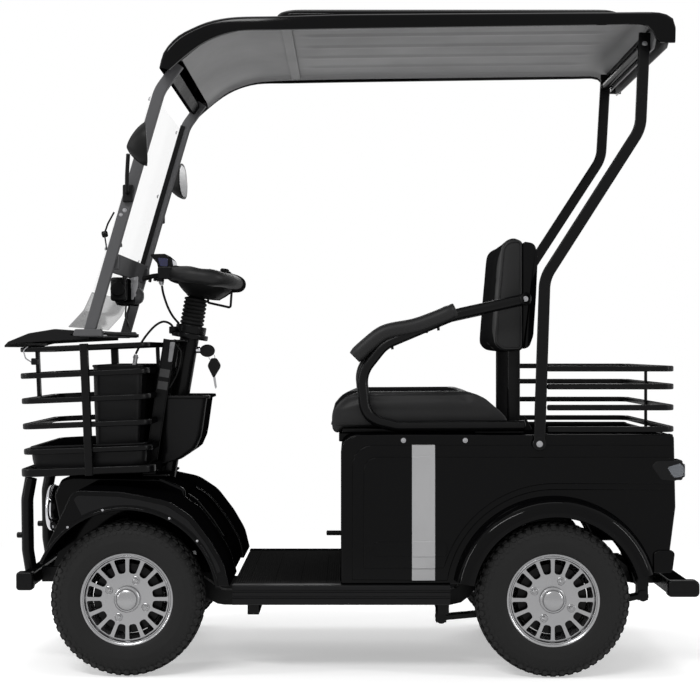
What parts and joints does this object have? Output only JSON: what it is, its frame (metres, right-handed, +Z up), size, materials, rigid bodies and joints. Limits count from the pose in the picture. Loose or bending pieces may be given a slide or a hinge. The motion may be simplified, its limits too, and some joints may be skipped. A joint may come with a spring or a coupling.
{
  "type": "mobility scooter",
  "caption": "Four-wheeled mobility scooter with a roof, a windscreen, a front basket, a seat with arms and an open cargo box behind it.",
  "frame": {"origin": "on the ground, below the middle of the overall length and width", "axes": "+X towards the rear, +Y towards the rider's right, +Z up; the front faces -X"},
  "size_m": [1.8414, 0.906, 1.755],
  "materials": {
    "gloss_black_plastic": "high gloss",
    "matt_black_plastic": "matt",
    "black_painted_steel": "satin black",
    "grey_plastic": "satin grey",
    "rubber": "ribbed",
    "tyre": "moulded rubber",
    "alloy": "bright cast alloy",
    "vinyl": "grained vinyl",
    "clear_sheet": "clear",
    "lamp_lens": "clear lens"
  },
  "bodies": {
    "chassis": {"chassis_frame": "black_painted_steel", "front_axle": "black_painted_steel", "rear_axle": "black_painted_steel", "drive_motor": "alloy", "leaf_spring_left": "black_painted_steel", "leaf_spring_right": "black_painted_steel", "battery_pack": "matt_black_plastic", "floor_board": "black_painted_steel", "floor_mat": "rubber", "sill_left": "matt_black_plastic", "sill_right": "matt_black_plastic", "front_fairing": "gloss_black_plastic", "headlamp": "lamp_lens", "front_bumper": "black_painted_steel", "rear_bumper": "black_painted_steel", "basket_frame": "black_painted_steel", "basket_tray": "matt_black_plastic", "basket_cowl": "matt_black_plastic", "column": "black_painted_steel", "column_bin": "gloss_black_plastic", "ignition_keys": "matt_black_plastic", "windscreen_frame": "grey_plastic", "windscreen": "clear_sheet", "wiper": "matt_black_plastic", "mirror_left": "matt_black_plastic", "mirror_right": "matt_black_plastic", "roof_shell": "gloss_black_plastic", "roof_liner": "grey_plastic", "rear_post_left": "black_painted_steel", "rear_post_right": "black_painted_steel", "roof_cross_tube": "black_painted_steel", "rear_body": "gloss_black_plastic", "tail_lamp_left": "lamp_lens", "tail_lamp_right": "lamp_lens", "rear_rack": "black_painted_steel", "seat_frame": "black_painted_steel", "seat_cushion": "vinyl", "seat_back": "vinyl", "arm_pad_left": "matt_black_plastic", "arm_pad_right": "matt_black_plastic", "front_cable": "matt_black_plastic"},
    "tiller": {"steering_stem": "black_painted_steel", "bellows": "rubber", "console": "matt_black_plastic", "display": "matt_black_plastic", "brake_lever": "black_painted_steel", "brake_cable": "matt_black_plastic"},
    "knuckle_left": {"knuckle_left": "black_painted_steel"},
    "knuckle_right": {"knuckle_right": "black_painted_steel"},
    "tie_rod": {"tie_rod": "black_painted_steel"},
    "wheel_front_left": {"front_tyre_left": "tyre", "front_rim_left": "alloy"},
    "wheel_front_right": {"front_tyre_right": "tyre", "front_rim_right": "alloy"},
    "wheel_rear_left": {"rear_tyre_left": "tyre", "rear_rim_left": "alloy"},
    "wheel_rear_right": {"rear_tyre_right": "tyre", "rear_rim_right": "alloy"}
  },
  "joints": [
    {"name": "steer", "type": "hinge", "parent": "chassis", "child": "tiller", "pos_m": [-0.4557, 0, 0.894], "axis": [0.1668, 0, 0.986], "range_deg": [-30, 30]},
    {"name": "knuckle_left_steer", "type": "hinge", "parent": "chassis", "child": "knuckle_left", "pos_m": [-0.581, -0.245, 0.2015], "axis": [0, 0, 1], "range_deg": [-30, 30]},
    {"name": "knuckle_right_steer", "type": "hinge", "parent": "chassis", "child": "knuckle_right", "pos_m": [-0.581, 0.245, 0.2015], "axis": [0, 0, 1], "range_deg": [-30, 30]},
    {"name": "tie_rod_swing", "type": "hinge", "parent": "knuckle_left", "child": "tie_rod", "pos_m": [-0.511, -0.245, 0.27], "axis": [0, 0, 1], "range_deg": [-30, 30]},
    {"name": "wheel_front_left_spin", "type": "hinge", "parent": "knuckle_left", "child": "wheel_front_left", "pos_m": [-0.581, -0.312, 0.2015], "axis": [0, 1, 0], "continuous": true},
    {"name": "wheel_front_right_spin", "type": "hinge", "parent": "knuckle_right", "child": "wheel_front_right", "pos_m": [-0.581, 0.312, 0.2015], "axis": [0, 1, 0], "continuous": true},
    {"name": "wheel_rear_left_spin", "type": "hinge", "parent": "chassis", "child": "wheel_rear_left", "pos_m": [0.527, -0.326, 0.2015], "axis": [0, 1, 0], "continuous": true},
    {"name": "wheel_rear_right_spin", "type": "hinge", "parent": "chassis", "child": "wheel_rear_right", "pos_m": [0.527, 0.326, 0.2015], "axis": [0, 1, 0], "continuous": true}
  ],
  "couplings": [
    {"joint": "knuckle_left_steer", "follows": "steer", "ratio": 1},
    {"joint": "knuckle_right_steer", "follows": "steer", "ratio": 1},
    {"joint": "tie_rod_swing", "follows": "steer", "ratio": -1}
  ]
}
